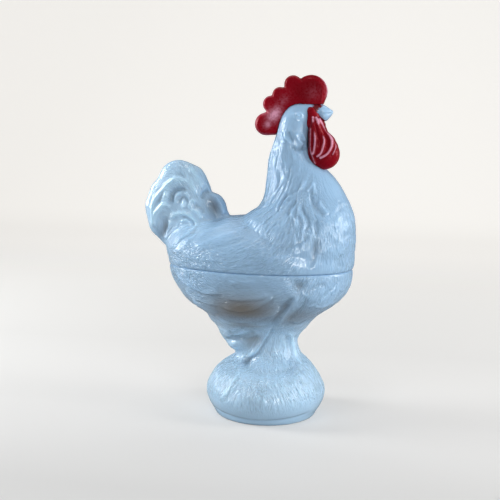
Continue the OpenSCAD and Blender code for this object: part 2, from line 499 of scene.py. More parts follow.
def thinned(obj: bpy.types.Object, most: int = 192_000) -> bpy.types.Object:
    """Takes triangles out of a piece where it is smoothest, until it has few enough.

    Args:
        obj: The piece.
        most: The most triangles that it may have.

    Returns:
        The piece.
    """
    obj.data.calc_loop_triangles()
    count = len(obj.data.loop_triangles)
    if count > most:
        thin = obj.modifiers.new("thin", "DECIMATE")
        thin.ratio = most / count
        settled(obj)
    return obj


def skin_faces(bm: bmesh.types.BMesh, low_mm: float, high_mm: float) -> list[bmesh.types.BMFace]:
    """The faces of the outer skin, between two levels.

    The rims at the two levels part the outer skin from the insides. The outer skin is the part
    that reaches furthest forward.

    Args:
        bm: The piece's mesh.
        low_mm: Level of the lower rim.
        high_mm: Level of the upper rim.

    Returns:
        The faces.
    """
    low, high = low_mm * M_PER_MM, high_mm * M_PER_MM
    bm.verts.ensure_lookup_table()
    start = max((v for v in bm.verts if low < v.co.z < high), key=lambda v: v.co.x)
    seen = {start}
    front = [start]
    while front:
        v = front.pop()
        for e in v.link_edges:
            other = e.other_vert(v)
            if other not in seen and low < other.co.z < high:
                seen.add(other)
                front.append(other)
    return [f for f in bm.faces if all(v in seen for v in f.verts)]


def refine_skin(obj: bpy.types.Object, low_mm: float, high_mm: float) -> Array:
    """Halves the faces of the outer skin.

    Args:
        obj: The piece.
        low_mm: Level of the lower rim.
        high_mm: Level of the upper rim.

    Returns:
        The rows of the outer skin's vertices.
    """
    bm = bmesh.new()
    bm.from_mesh(obj.data)
    faces = skin_faces(bm, low_mm, high_mm)
    edges = list({e for f in faces for e in f.edges})
    bmesh.ops.subdivide_edges(bm, edges=edges, cuts=1, use_grid_fill=True)
    faces = skin_faces(bm, low_mm, high_mm)
    verts = list({v for f in faces for v in f.verts})
    relax(bm, verts, 3)
    bm.verts.index_update()
    rows = np.array(sorted(v.index for v in verts))
    bm.to_mesh(obj.data)
    bm.free()
    return rows


def close_seam(mesh: bpy.types.Mesh, level_mm: float, above: bool) -> None:
    """Draws the rounded edge beside the seam up to it, so that only a fine line stays open.

    Args:
        mesh: The piece's mesh.
        level_mm: Level of the seam.
        above: Whether the piece lies above it.
    """
    co = read_points(mesh)
    way = 1.0 if above else -1.0
    off = (co[:, 2] - level_mm) * way
    near = off > 0.0
    off = off * (0.3 + 0.7 * smooth(0.0, 1.8, off))
    co[near, 2] = (level_mm + way * off)[near]
    write_points(mesh, co)


def shade_smooth(obj: bpy.types.Object) -> None:
    """Sets every face of a piece to smooth shading."""
    obj.data.polygons.foreach_set("use_smooth", [True] * len(obj.data.polygons))


# ---------------------------------------------------------------- finishes


Socket = bpy.types.NodeSocket


@dataclass(frozen=True)
class Graph:
    """A shader tree that is being wired. Colours are given as red, green and blue."""

    tree: bpy.types.NodeTree

    def add(self, kind: str, feeds: dict | None = None, **settings: object) -> bpy.types.NodeOutputs:
        """Adds a node.

        Args:
            kind: Its type, without the prefix.
            feeds: What goes into its inputs, as for feed.
            settings: Properties to set on it.

        Returns:
            Its outputs.
        """
        node = self.tree.nodes.new("ShaderNode" + kind)
        for key, value in settings.items():
            setattr(node, key, value)
        self.feed(node, feeds or {})
        return node.outputs

    def feed(self, node: bpy.types.Node, feeds: dict) -> None:
        """Sets or links a node's inputs.

        Args:
            node: The node.
            feeds: For its inputs, by name or number, a value or the socket to link.
        """
        for name, feed in feeds.items():
            socket = node.inputs[name]
            if isinstance(feed, Socket):
                self.tree.links.new(feed, socket)
            else:
                socket.default_value = (*feed, 1.0) if socket.type == "RGBA" else feed

    def math(self, operation: str, *feeds: Socket | float, clamp: bool = False) -> Socket:
        """The result of a sum on numbers."""
        return self.add("Math", dict(enumerate(feeds)), operation=operation, use_clamp=clamp)[0]

    def mix(self, low: Socket | RGB, high: Socket | RGB, share: Socket) -> Socket:
        """A colour between two colours."""
        return self.add("Mix", {"A": low, "B": high, "Factor": share}, data_type="RGBA")["Result"]

    def span(self, value: Socket, low: float, high: float, start: float = 0.0,
             end: float = 1.0) -> Socket:
        """A number carried over from between start and end to between low and high."""
        feeds = {"Value": value, "From Min": start, "From Max": end, "To Min": low, "To Max": high}
        return self.add("MapRange", feeds)["Result"]

    def mask(self, name: str) -> Socket:
        """A number stored on the mesh."""
        return self.add("Attribute", attribute_name=name)["Fac"]

    def bump(self, height: Socket, depth_m: float, strength: float, **over: Socket) -> Socket:
        """A normal that follows a height."""
        feeds = {"Height": height, "Distance": depth_m, "Strength": strength, **over}
        return self.add("Bump", feeds)["Normal"]


def new_group(name: str, numbers: dict[str, float], vectors: tuple[str, ...],
              results: tuple[str, ...]) -> tuple[Graph, bpy.types.NodeOutputs, bpy.types.Node]:
    """A new shader node group with its sockets.

    Args:
        name: Its name.
        numbers: Its number inputs and their usual values.
        vectors: Its vector inputs.
        results: Its outputs, all numbers.

    Returns:
        Its graph, the sockets that bring its inputs, and the node that takes its results.
    """
    tree = bpy.data.node_groups.new(name, "ShaderNodeTree")
    for vector in vectors:
        tree.interface.new_socket(vector, in_out="INPUT", socket_type="NodeSocketVector")
    for number, value in numbers.items():
        socket = tree.interface.new_socket(number, in_out="INPUT", socket_type="NodeSocketFloat")
        socket.default_value = value
    for result in results:
        tree.interface.new_socket(result, in_out="OUTPUT", socket_type="NodeSocketFloat")
    return Graph(tree), tree.nodes.new("NodeGroupInput").outputs, tree.nodes.new("NodeGroupOutput")


def new_material(name: str) -> tuple[bpy.types.Material, Graph, bpy.types.Node]:
    """A new material, with its graph and its Principled node."""
    mat = bpy.data.materials.new(name)
    mat.use_nodes = True
    return mat, Graph(mat.node_tree), mat.node_tree.nodes["Principled BSDF"]


def mould_grain_group() -> bpy.types.NodeTree:
    """The fine waviness and pitting of moulded glass, as a height and a mask.

    Returns:
        The group, with inputs Scale and Pits and outputs Height and Mask.
    """
    graph, ins, outs = new_group("mould grain", {"Scale": 400.0, "Pits": 0.4}, (), ("Height", "Mask"))
    pit_scale, mask_scale = 2.3, 45.0
    place = graph.add("TexCoord")["Object"]
    wave = graph.add("TexNoise", {"Vector": place, "Scale": ins["Scale"], "Detail": 3.0})["Fac"]
    pits_size = graph.math("MULTIPLY", ins["Scale"], pit_scale)
    pits = graph.add("TexVoronoi", {"Vector": place, "Scale": pits_size})["Distance"]
    height = graph.math("ADD", wave, graph.math("MULTIPLY", pits, ins["Pits"]))
    broad = graph.add("TexNoise", {"Vector": place, "Scale": mask_scale})["Fac"]
    graph.feed(outs, {"Height": height, "Mask": broad})
    return graph.tree


def feather_hatch_group() -> bpy.types.NodeTree:
    """Short, fine ridges that follow the lay of the feathers, as a height.

    Stretched noises in evenly turned directions are blended, and the one nearest the lay counts
    most.

    Returns:
        The group, with inputs Lay, Along and Across (sizes in metres) and output Height.
    """
    sizes = {"Along": 0.004, "Across": 0.00075}
    graph, ins, outs = new_group("feather hatch", sizes, ("Lay",), ("Height",))
    directions, sharpness = 6, 24.0
    place = graph.add("TexCoord")["Object"]
    size = graph.add("CombineXYZ", {"X": ins["Along"], "Y": ins["Across"], "Z": ins["Across"]})["Vector"]
    total: Socket | float = 0.0
    for k in range(directions):
        angle = math.pi * k / directions
        turned = graph.add("VectorRotate", {"Vector": place, "Angle": angle}, rotation_type="Y_AXIS")
        scaled = graph.add("VectorMath", {0: turned["Vector"], 1: size}, operation="DIVIDE")["Vector"]
        ridges = graph.add("TexNoise", {"Vector": scaled, "Scale": 1.0, "Detail": 1.0})["Fac"]
        way = (math.cos(angle), 0.0, math.sin(angle))
        along = graph.add("VectorMath", {0: ins["Lay"], 1: way}, operation="DOT_PRODUCT")["Value"]
        weight = graph.math("POWER", graph.math("ABSOLUTE", along), sharpness)
        total = graph.math("MULTIPLY_ADD", graph.math("SUBTRACT", ridges, 0.5), weight, total)
    graph.feed(outs, {"Height": total})
    return graph.tree


@dataclass(frozen=True)
class MilkGlass:
    """Opaque pale blue-white glass, glossy, with a fine mould grain.

    It is paler where it is thick, and red where enamel runs over it. Painted shade turns it
    grey under the belly and in hollows; painted shade darkens it in low relief and hatch
    grooves, and a painted highlight lightens it on high relief and hatch ridges.
    """

    thick: RGB = (0.50, 0.74, 0.97)
    hollow: RGB = (0.31, 0.51, 0.74)
    # painted shade colour, mixed in by the shade mask
    painted_shade_grey: RGB = (0.15, 0.122, 0.086)
    enamel: RGB = (0.15, 0.001, 0.006)
    # darkest painted shade in the lowest relief, as a share of the colour
    crevice_shade: float = 0.7
    roughness: float = 0.17
    grain_height_mm: float = 0.04
    hatch_height_mm: float = 6.0
    # how much hatch ridges lighten and hatch grooves darken the colour, as painted highlight and shade
    hatch_shading: float = 2.5

    def material(self, grain: bpy.types.NodeTree, hatch: bpy.types.NodeTree) -> bpy.types.Material:
        """Builds the material.

        Args:
            grain: The mould grain group.
            hatch: The feather hatch group.

        Returns:
            The material.
        """
        mat, graph, bsdf = new_material("milk glass")
        moulded = graph.add("Group", {"Scale": 620.0, "Pits": 0.35}, node_tree=grain)
        lay = graph.add("Attribute", attribute_name="lay")["Vector"]
        ridges = graph.add("Group", {"Lay": lay}, node_tree=hatch)["Height"]
        cut = graph.math("MULTIPLY", ridges, graph.mask("hatch"))
        # painted shading: darker in low relief and hatch grooves as painted shade, lighter on high
        # relief and hatch ridges as painted highlight
        relief = graph.span(graph.mask("relief"), self.crevice_shade, 2.0 - self.crevice_shade * 1.25)
        painted_shading = graph.math("MULTIPLY", relief, graph.math("MULTIPLY_ADD", cut, self.hatch_shading, 1.0))
        glass = graph.mix(self.hollow, self.thick, graph.mask("bulk"))
        colour = graph.add("VectorMath", {0: glass, "Scale": painted_shading}, operation="SCALE")["Vector"]
        # painted shade: the shade mask turns the colour grey under the belly and in hollows; the paint
        # mask is the real red enamel
        for name, layer in (("shade", self.painted_shade_grey), ("paint", self.enamel)):
            colour = graph.mix(colour, layer, graph.mask(name))
        grained = graph.bump(moulded["Height"], self.grain_height_mm * M_PER_MM, 0.6)
        graph.feed(bsdf, {
            "Base Color": colour,
            "Normal": graph.bump(cut, self.hatch_height_mm * M_PER_MM, 1.0, Normal=grained),
            "Roughness": graph.span(moulded["Mask"], self.roughness * 0.75, self.roughness * 1.3),
            "IOR": 1.5,
            "Subsurface Weight": 0.2,
            "Subsurface Radius": (0.9, 1.0, 1.0),
            "Subsurface Scale": 0.0015,
            "Coat Weight": 0.35,
            "Coat Roughness": 0.08,
        })
        return mat


@dataclass(frozen=True)
class RedEnamel:
    """Dark red fired enamel, glossy, worn to pale glass on ridges and rims; the same pale colour
    also makes a painted sheen on the comb's rear and painted highlights along the wattles' folds.
    """

    red: RGB = (0.36, 0.002, 0.014)
    dark: RGB = (0.10, 0.0, 0.001)
    # pale glass where the enamel is worn, also used for painted sheen and painted highlights
    worn_and_sheen: RGB = (0.80, 0.38, 0.52)
    roughness: float = 0.26
    grain_height_mm: float = 0.04
    raggedness: float = 0.3

    def material(self, grain: bpy.types.NodeTree) -> bpy.types.Material:
        """Builds the material.

        Args:
            grain: The mould grain group.

        Returns:
            The material.
        """
        mat, graph, bsdf = new_material("red enamel")
        fired = graph.add("Group", {"Scale": 500.0, "Pits": 0.2}, node_tree=grain)
        # wear and painted sheen: pale where the enamel is worn, and where sheen and highlights are
        # painted on
        wear_and_sheen = graph.mask("wear_and_sheen")
        place = graph.add("TexCoord")["Object"]
        broken = graph.add("TexNoise", {"Vector": place, "Scale": 900.0, "Detail": 4.0})["Fac"]
        ragged = graph.span(broken, -self.raggedness, self.raggedness, 0.25, 0.75)
        gate = graph.math("MULTIPLY", graph.math("ADD", wear_and_sheen, ragged, clamp=True), wear_and_sheen, clamp=True)
        graph.feed(bsdf, {
            "Base Color": graph.mix(graph.mix(self.dark, self.red, fired["Mask"]), self.worn_and_sheen, gate),
            "Normal": graph.bump(fired["Height"], self.grain_height_mm * M_PER_MM, 0.5),
            "Roughness": graph.span(broken, self.roughness * 0.7, self.roughness * 1.5),
            "Specular IOR Level": 0.3,
            "Specular Tint": (1.0, 0.3, 0.36),
        })
        return mat


@dataclass(frozen=True)
class SeamlessPaper:
    """The pale sweep that the dish stands on, with a painted glow that grows from the floor in front
    towards the backdrop.
    """

    pale: RGB = (0.50, 0.495, 0.485)
    # painted glow, as emission: where it runs along the depth, and its colours from the front to the
    # backdrop
    painted_glow_span_m: tuple[float, float] = (-0.2, 1.3)
    painted_glow: tuple[tuple[float, RGB], ...] = (
        (0.04, (0.16, 0.16, 0.16)), (0.12, (0.32, 0.318, 0.315)), (0.25, (0.30, 0.297, 0.29)),
        (0.70, (0.58, 0.565, 0.54)), (1.0, (0.67, 0.652, 0.62)))
    bounce: RGB = (0.37, 0.36, 0.35)

    def material(self) -> bpy.types.Material:
        """Builds the material: pale with a painted glow as seen, but a dim warm bounce to the glass."""
        mat, graph, bsdf = new_material("seamless paper")
        place = graph.add("TexCoord")["Object"]
        depth = graph.add("SeparateXYZ", {"Vector": place})["Y"]
        # painted glow: emission that grows from the floor near the bird to the backdrop
        painted_glow_colours = graph.add("ValToRGB", {"Fac": graph.span(depth, 0.0, 1.0, *self.painted_glow_span_m)})
        stops = painted_glow_colours["Color"].node.color_ramp.elements
        for share, _ in self.painted_glow[1:-1]:
            stops.new(share)
        for stop, (share, colour) in zip(stops, self.painted_glow):
            stop.position = share
            stop.color = (*colour, 1.0)
        graph.feed(bsdf, {"Base Color": self.pale, "Roughness": 0.6, "Specular IOR Level": 0.2,
                          "Emission Color": painted_glow_colours["Color"], "Emission Strength": 1.0})
        dim = graph.add("BsdfDiffuse", {"Color": self.bounce})["BSDF"]
        seen = graph.add("LightPath")["Is Camera Ray"]
        shader = graph.add("MixShader", {"Fac": seen, 1: dim, 2: bsdf.outputs["BSDF"]})["Shader"]
        graph.feed(mat.node_tree.nodes["Material Output"], {"Surface": shader})
        return mat


# ---------------------------------------------------------------- the plumage


# Lay and relief of the cover's feathers, from the crown down the neck, over breast and back
COVER_PLUMAGE = (
    Patch(30, 192, 7, -0.5, -1, 0.01),
    Patch(22, 182, 6, -0.2, -1, 0.08, 0.25),
    Patch(34, 178, 6, 0.1, -1, 0.05, 0.1, 0.2, 8, 4),
    Patch(18, 168, 8, -0.1, -1, 0.1, 0.34),
    Patch(30, 165, 8, 0.1, -1, 0.06, 0.16),
    Patch(16, 152, 9, -0.15, -1, 0.14, 0.38),
    Patch(28, 150, 9, -0.1, -1, 0.1, 0.28),
    Patch(42, 152, 9, -0.35, -1, 0.06, 0.12),
    Patch(54, 146, 9, 0.35, -1, 0.05, 0.05),
    Patch(12, 138, 9, -0.55, -0.9, 0.14, 0.42),
    Patch(26, 136, 9, -0.35, -1, 0.12, 0.42),
    Patch(39, 136, 8, 0.1, -1, 0.12, 0.42),
    Patch(52, 132, 9, 0.45, -1, 0.1, 0.1, 0.15, 10, 7),
    Patch(63, 130, 8, 0.2, -1, 0.2, 0.0, 0.4, 7, 5.5),
    Patch(2, 127, 9, -0.8, -0.6, 0.15, 0.3),
    Patch(18, 122, 10, -0.45, -0.9, 0.12, 0.42),
    Patch(34, 122, 9, -0.05, -1, 0.12, 0.42),
    Patch(50, 116, 8, 0.1, -1, 0.15, 0.05, 0.4, 8, 6),
    Patch(62, 114, 8, 0.0, -1, 0.2, 0.0, 0.5, 7, 5.5),
    Patch(28, 108, 9, -0.45, -0.9, 0.2, 0.08),
    Patch(8, 112, 10, -0.85, -0.5, 0.16, 0.1),
    Patch(-8, 118, 9, -1, -0.25, 0.08, 0.1),
    Patch(-22, 114, 9, -1, -0.3, 0.1, 0.1),
    Patch(-36, 118, 8, -0.9, -0.5, 0.2, 0.15),
    Patch(-46, 110, 8, -0.5, -0.9, 0.22, 0.1),
    Patch(-38, 103, 8, -0.8, 0.5, 0.26),
    Patch(-18, 102, 9, -0.85, 0.4, 0.26),
    Patch(4, 101, 9, -0.95, -0.2, 0.22),
    Patch(24, 99, 9, -0.9, -0.4, 0.2),
    Patch(38, 107, 5, -0.3, -1, 0.03),
    Patch(44, 100, 7, -0.2, -1, 0.03),
    Patch(53, 106, 7, 0.0, -1, 0.04),
    Patch(66, 102, 7, 0.0, -1, 0.2, 0.0, 0.25, 8, 6),
    Patch(-28, 130, 9, -0.6, 0.8, 0.12, 0.05),
    Patch(-46, 134, 9, -0.7, 0.7, 0.15, 0.04),
    Patch(-40, 152, 9, -0.5, 0.8, 0.14, 0.06),
    Patch(-56, 148, 8, -0.8, -0.3, 0.08),
    Patch(-64, 134, 8, -0.2, -1, 0.07),
    Patch(-62, 118, 8, 0.5, -1, 0.08),
)

# Lay and relief of the dish: belly feathers, thighs and fluff, then the stem and the foot
DISH_PLUMAGE = (
    Patch(-44, 90, 8, -0.8, 0.5, 0.26),
    Patch(-26, 88, 8, -0.8, 0.5, 0.26),
    Patch(-8, 90, 9, -0.95, 0.2, 0.14, 0.05),
    Patch(12, 90, 9, -1, -0.1, 0.08, 0.04),
    Patch(30, 90, 8, -0.9, -0.3, 0.16, 0.05, 0.1),
    Patch(46, 89, 8, -0.4, -0.9, 0.16, 0.04, 0.2, 9, 7),
    Patch(61, 88, 8, -0.1, -1, 0.2, 0.0, 0.35, 8, 7),
    Patch(-36, 76, 8, -1, -0.1, 0.12, 0.08, 0.25, 16, 9),
    Patch(-18, 74, 8, -1, -0.15, 0.1, 0.08, 0.2, 18, 10),
    Patch(4, 74, 9, -1, -0.3, 0.12, 0.08, 0.2, 16, 9),
    Patch(24, 74, 8, -0.85, -0.5, 0.14, 0.08, 0.2, 14, 8),
    Patch(42, 76, 8, -0.5, -0.8, 0.16, 0.05, 0.35, 10, 7),
    Patch(56, 76, 8, -0.3, -0.9, 0.16, 0.05, 0.3, 9, 7),
    Patch(-20, 62, 8, -1, -0.3, 0.1, 0.06, 0.2, 14, 8),
    Patch(2, 62, 8, -0.9, -0.5, 0.1, 0.08, 0.2, 13, 8),
    Patch(24, 62, 8, -0.7, -0.8, 0.12, 0.08, 0.15, 12, 7),
    Patch(42, 64, 8, -0.5, -0.9, 0.1, 0.06, 0.2, 10, 7),
    Patch(-12, 51, 7, -0.8, -0.6, 0.14, 0.05),
    Patch(4, 48, 7, -0.6, -0.8, 0.14, 0.05),
    Patch(20, 49, 7, -0.2, -1, 0.18),
    Patch(31, 48, 6, 0.2, -1, 0.2),
    Patch(16, 38, 8, 0.1, -1, 0.2),
    Patch(-12, 24, 9, -0.6, -0.8, 0.3),
    Patch(2, 21, 9, -0.35, -0.9, 0.32),
    Patch(14, 20, 9, 0.0, -1, 0.3),
    Patch(28, 22, 9, 0.35, -0.9, 0.26),
    Patch(42, 24, 9, 0.6, -0.8, 0.3),
    Patch(-14, 5, 8, 0.0, -1, 0.0),
    Patch(-2, 4, 8, 0.0, -1, 0.0),
    Patch(12, 4, 8, 0.0, -1, 0.0),
    Patch(26, 5, 8, 0.0, -1, 0.0),
    Patch(40, 7, 8, 0.0, -1, 0.0),
)

# Big forms of the cover: pockets between the tail's lobes, breast, wing and face
COVER_SWELLS = (
    Swell(-21, 132.5, 6.5, 3.8, -4.4, -56),
    Swell(-54, 118, 6.5, 2.8, -2.8, 75),
    Swell(-43, 138, 9, 8, -0.8),
    Swell(-29, 146, 7, 4, 0.8, -50),
    Swell(-40, 117, 7, 6, 0.8),
    Swell(47.4, 111.5, 3.6, 5, -1.6),
    Swell(57, 129, 8, 12, 1.2),
    Swell(58, 111, 7, 6, 0.6),
    Swell(20, 114, 20, 9, 1.0),
    Swell(45, 138, 4, 5, -0.9, -50),
    Swell(52, 126, 3.0, 3.0, 0.9),
    Swell(57.5, 125.5, 2.6, 2.6, 0.8),
    Swell(61, 130.5, 2.8, 2.8, 0.8),
    Swell(59, 137, 2.8, 2.8, 0.7),
    Swell(64, 122, 2.8, 2.8, 0.8),
    Swell(57, 117.5, 3.0, 2.6, 0.9),
    Swell(63, 115, 2.8, 2.8, 0.7),
    Swell(32.4, 190.6, 4.2, 3.4, -0.6),
    Swell(33, 181, 5, 6, 0.6),
)

# Drawn edges of the cover's plumage: the tail's curls, the rump's bands, hackles, wing and cheek
COVER_LINES = (
    Line(((-43, 152.5), (-48, 149), (-52.5, 145), (-58, 139), (-61.5, 133.5), (-62.5, 128), (-62, 123)),
         1.1, 1.1),
    Line(((-46, 149.5), (-51.5, 144.5), (-56, 138.5), (-59, 133)), -1.0, 1.5),
    Line(((-31.5, 139), (-33, 144.5), (-37, 148.5), (-42.5, 150), (-48, 148), (-52, 144), (-53, 139),
          (-52, 134.5)), 1.7, 2.1),
    Line(((-38.5, 141), (-41, 143), (-45, 143), (-48, 140.5), (-49, 137), (-48.5, 133)), -1.6, 1.5),
    Line(((-36, 137.5), (-38.5, 141), (-41.5, 142), (-44.5, 140), (-46, 137), (-45.5, 133)), 1.1, 0.9),
    Line(((-36.5, 134), (-39, 137.5), (-41, 138.5), (-43, 136.5), (-43.5, 133.5)), -1.0, 0.9),
    Line(((-39.5, 131.5), (-40.5, 134), (-39, 136)), 1.0, 1.2),
    Line(((-49, 132), (-53, 133.5), (-56.5, 131), (-60, 127), (-61.5, 122), (-60, 117.5)), 1.5, 1.8),
    Line(((-30, 121), (-33.5, 125), (-37.5, 127.5), (-41.5, 128), (-46.5, 127), (-49, 124)), 1.4, 1.5),
    Line(((-31.5, 120.5), (-34.5, 124), (-38, 125.8), (-42, 126)), -0.9, 0.8),
    Line(((-33.5, 120.5), (-36, 123), (-39, 124), (-42, 122.5)), 0.9, 0.8),
    Line(((-28.5, 125), (-29.5, 128), (-32.5, 130), (-36, 131)), 1.0, 1.0),
    Line(((-27, 128), (-28, 131.5), (-31, 133), (-34, 133.5)), -0.9, 1.0),
    Line(((-32, 135.5), (-34.5, 136.5), (-36, 134.5), (-35.5, 131.5)), 1.0, 1.2),
    Line(((-47, 154), (-41, 152), (-36.5, 149), (-33, 145.5), (-30.5, 140.5)), -1.0, 1.2),
    Line(((-39, 158), (-34.5, 154.5), (-31, 149.5), (-27.5, 144)), 0.7, 1.2),
    Line(((-29, 137.5), (-27, 141.5), (-24, 143)), -1.4, 1.4),
    Line(((-25, 141.5), (-20.5, 139), (-17, 134.5), (-15.3, 130), (-15, 128)), 0.9, 1.0),
    Line(((-30, 123.5), (-31, 120), (-33.5, 117), (-37.5, 113.5), (-41, 110), (-44, 105.5)), 1.0, 1.3),
    Line(((-28, 121), (-30.5, 117.5), (-35, 114.5), (-39.5, 110), (-42.5, 105)), -0.5, 1.2),
    Line(((-27, 116.5), (-33.5, 113), (-37.5, 110.5), (-41, 107), (-43.5, 103)), 0.7, 1.3),
    Line(((-31, 111.5), (-35, 109.5), (-38.5, 106.5), (-41, 102.5)), 0.5, 1.0),
    Line(((-48.5, 124), (-50.5, 119), (-52, 114), (-52, 110)), 0.6, 1.6),
    Line(((2, 127.5), (-6.5, 124), (-15.5, 121), (-22, 118), (-27, 114.5)), 0.4, 1.2),
    Line(((5, 123.5), (-4.5, 119), (-13.5, 115.5), (-22, 112), (-28, 109)), 0.5, 1.4),
    Line(((8, 118), (-4, 113), (-14, 110), (-24, 107.5)), -0.4, 1.2),
    Line(((41.5, 147.5), (43, 142.5), (43.7, 139), (46, 135.5), (49.5, 132.5), (51, 130.5)), -0.6, 1.5),
    Line(((43, 151), (43.8, 147), (43.8, 143)), 0.5, 0.7),
    Line(((47, 140.5), (49, 136.5), (52, 133.5), (54, 132)), 0.6, 0.9),
    Line(((46.5, 129), (47, 126), (47.4, 123), (47, 118.5)), -0.6, 1.5),
    Line(((34, 140), (32.5, 137), (30.5, 134.5), (30.3, 130)), -0.8, 0.9),
    Line(((35.7, 137.5), (36, 134), (37.5, 131.5), (39.5, 128.5), (40.3, 125), (39, 122)), 0.7, 0.7),
    Line(((38, 137.5), (38.6, 134), (41, 130.5), (42.6, 126), (41.5, 121.5)), -0.7, 0.8),
    Line(((31.3, 133.5), (32.5, 130.5), (35, 127.5), (35.5, 123)), 0.7, 0.7),
    Line(((39, 151.5), (37, 147.5), (35, 145.5)), 0.6, 0.7),
    Line(((43.3, 150.7), (41.5, 147), (39.5, 144.5)), 0.6, 0.7),
    Line(((36.5, 150), (34, 145.5), (30, 142)), -0.6, 0.8),
    Line(((19, 165.5), (18.7, 160), (19.5, 155), (20.3, 150), (19, 144), (15, 138), (10.5, 132)),
         0.6, 0.8),
    Line(((24, 156.5), (25.4, 152.5), (23.5, 148.5), (20.5, 144), (17.5, 138.5), (14, 132.5)), 0.6, 0.8),
    Line(((21.5, 157), (22.5, 152), (21, 147), (17, 141), (12.5, 135)), -0.6, 0.8),
    Line(((27.5, 144.5), (24.5, 140.5), (23, 136), (22, 131)), 0.6, 0.8),
    Line(((32.7, 143), (28, 140), (25.5, 136), (24.5, 132)), 0.6, 0.8),
    Line(((30.5, 143.5), (26, 140.3), (24.2, 136), (23.3, 131)), -0.6, 0.7),
    Line(((59, 140), (60.5, 136.5), (60, 132.5)), -0.6, 1.0),
    Line(((47.4, 119), (46.9, 113.5), (46.2, 109), (45.6, 104), (45.1, 98)), -0.6, 1.9),
    Line(((49.5, 109), (48, 104), (46.5, 99)), 0.5, 1.4),
    Line(((62, 108), (61.6, 103), (61, 99)), -0.5, 1.2),
    Line(((27.5, 111.5), (34.5, 113.5), (40, 116.5), (41.5, 120)), -0.5, 1.1),
    Line(((15, 104.5), (24, 105.5), (32, 107.5), (40, 109.5)), 0.4, 1.2),
    Line(((32.3, 192.7), (34, 191.9), (34.6, 190.4), (33.6, 188.9), (32, 188.6), (30.5, 189.4),
          (30.1, 191.1), (30.8, 192.3), (32.6, 192.7)), 0.5, 0.6, closed=True),
    Line(((32, 190.6), (32.8, 190.6)), 0.6, 0.8, closed=True),
    Line(((28.5, 171.8), (32, 170), (35.2, 170.5), (37.5, 172)), -1.0, 1.3),
    Line(((24.3, 181.5), (25.4, 178), (27.4, 174.7), (28.7, 173.4)), 0.7, 0.8),
    Line(((22.2, 181), (23.2, 177), (25, 173.5)), 0.6, 0.7),
    Line(((26.8, 181), (28.3, 177.5), (29.8, 174.5)), -0.7, 0.8),
    Line(((31.2, 180.6), (32.2, 177), (34.3, 174.4), (36.3, 173.5)), 0.8, 0.8),
    Line(((34.2, 181), (35.8, 178.5), (36.7, 175)), 0.6, 0.7),
    Line(((43.9, 193.4), (48.6, 192.6), (52.5, 193.5)), -0.5, 0.5),
)

# Big forms of the dish: the belly's hollow and notches, thigh fluff, and the legs' folds
DISH_SWELLS = (
    Swell(3, 84.5, 14, 5, -1.2),
    Swell(38.4, 89.3, 3.6, 3.4, -2.0),
    Swell(29.8, 75.6, 4.2, 3.2, -1.9, 50),
    Swell(2, 71, 24, 6, 1.6),
    Swell(46, 82, 6, 5, 0.8),
    Swell(-28, 86, 10, 5, 0.9, -20),
    Swell(-6, 55.5, 8, 5.5, 2.4, 20),
    Swell(-5, 45.5, 6, 3, 1.8, 25),
    Swell(10.5, 49, 6, 4, -1.6, 55),
    Swell(25, 50, 6, 12, 0.8, -10),
    Swell(5, 37, 5, 4, -2.6),
    Swell(36, 62, 6, 3, 0.8, 15),
)

